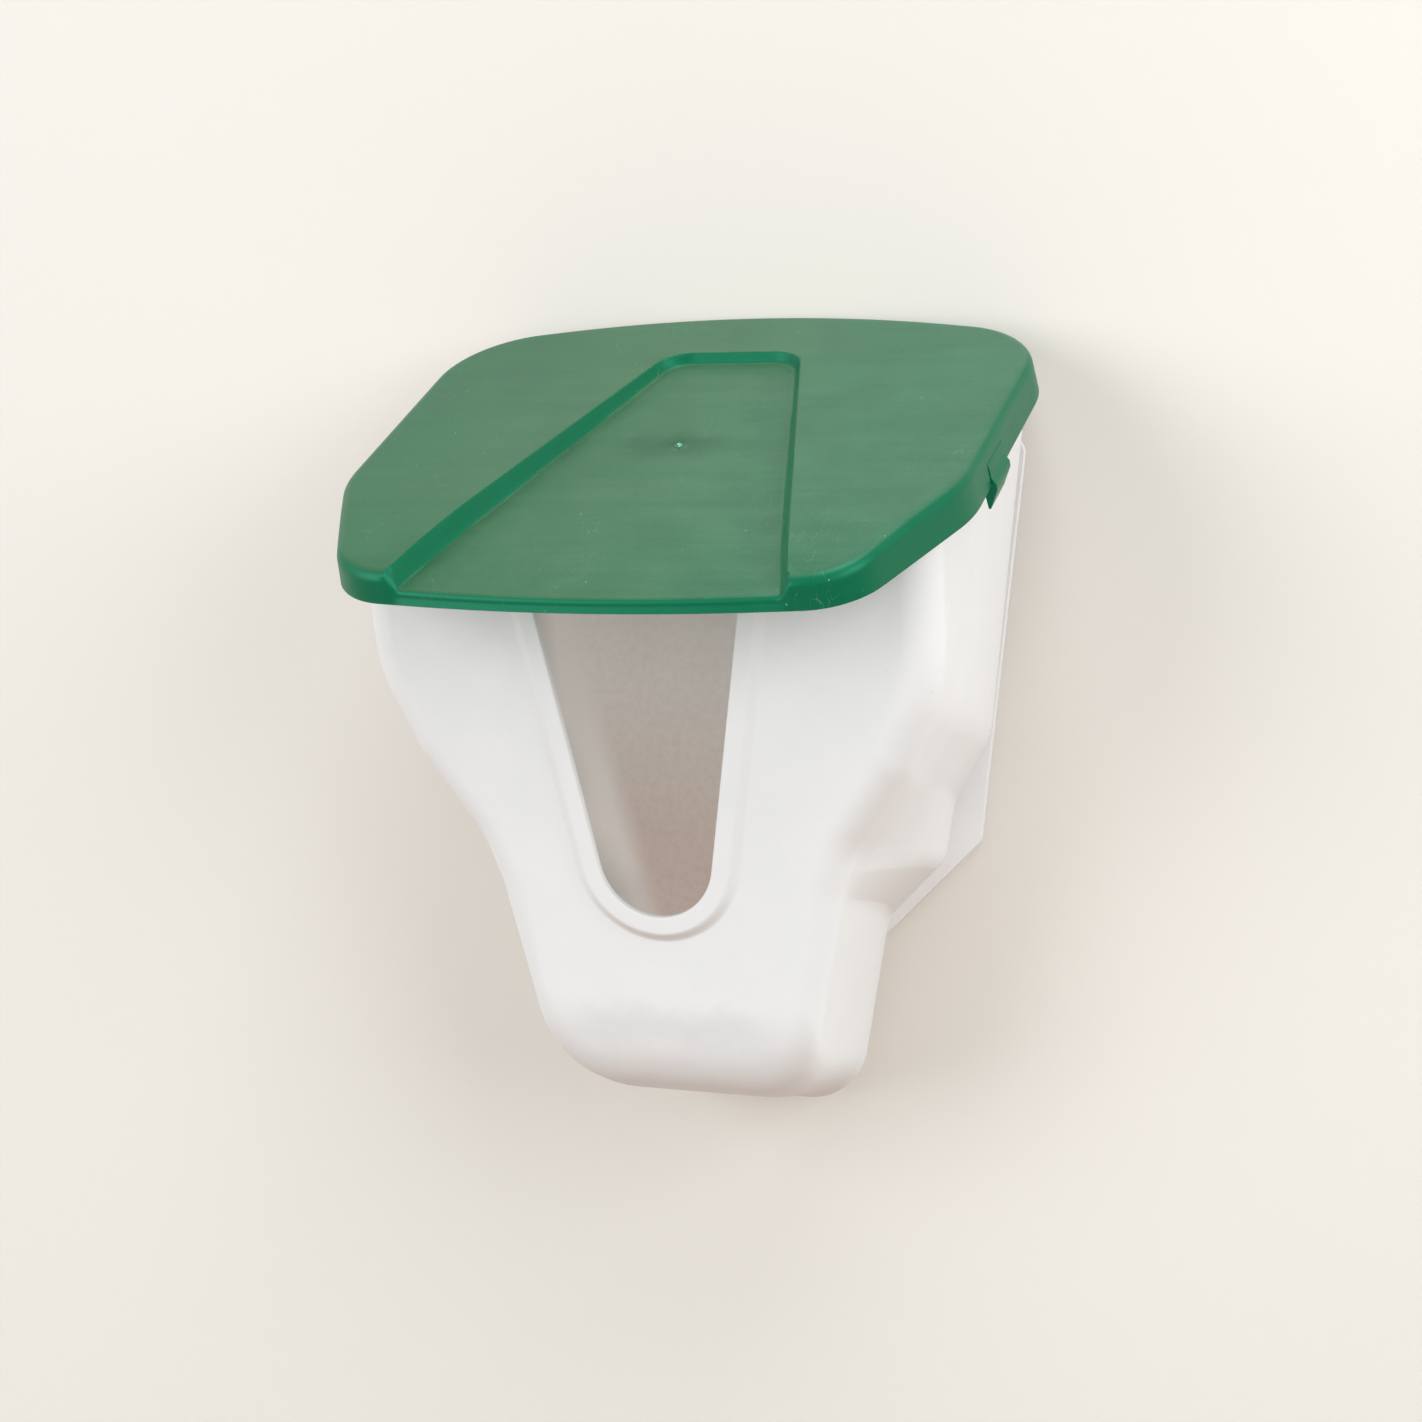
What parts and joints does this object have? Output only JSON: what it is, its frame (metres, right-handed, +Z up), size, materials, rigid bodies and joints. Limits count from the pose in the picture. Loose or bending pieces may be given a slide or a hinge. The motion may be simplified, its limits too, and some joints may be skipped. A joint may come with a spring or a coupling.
{
  "type": "hay feeder box",
  "caption": "Wall-hung moulded hay tub with a V-shaped feeding opening in its leaning front and a sloping lift-off lid that overhangs it and snaps on at the sides",
  "frame": {"origin": "on the wall plane, midway between the two screw holes", "axes": "X across the feeder, to the right for someone facing it; Y into the wall; Z up along the wall"},
  "size_m": [0.2282, 0.1658, 0.2825],
  "materials": {
    "tub_plastic": "satin",
    "lid_plastic": "satin"
  },
  "bodies": {
    "tub": {"tub": "tub_plastic"},
    "lid": {"lid": "lid_plastic"},
    "latch_left": {"latch_left": "lid_plastic"},
    "latch_right": {"latch_right": "lid_plastic"}
  },
  "joints": [
    {"name": "lid_lift", "type": "slide", "parent": "tub", "child": "lid", "axis": [0, -0.4695, 0.8829], "range_m": [0, 0.08]},
    {"name": "latch_left_flex", "type": "hinge", "parent": "lid", "child": "latch_left", "pos_m": [-0.1105, -0.0843, 0.02604], "axis": [0, 0.8829, 0.4695], "range_deg": [-4, 6], "stiffness_Nm_per_rad": 0.05},
    {"name": "latch_right_flex", "type": "hinge", "parent": "lid", "child": "latch_right", "pos_m": [0.1105, -0.0843, 0.02604], "axis": [0, -0.8829, -0.4695], "range_deg": [-4, 6], "stiffness_Nm_per_rad": 0.05}
  ]
}
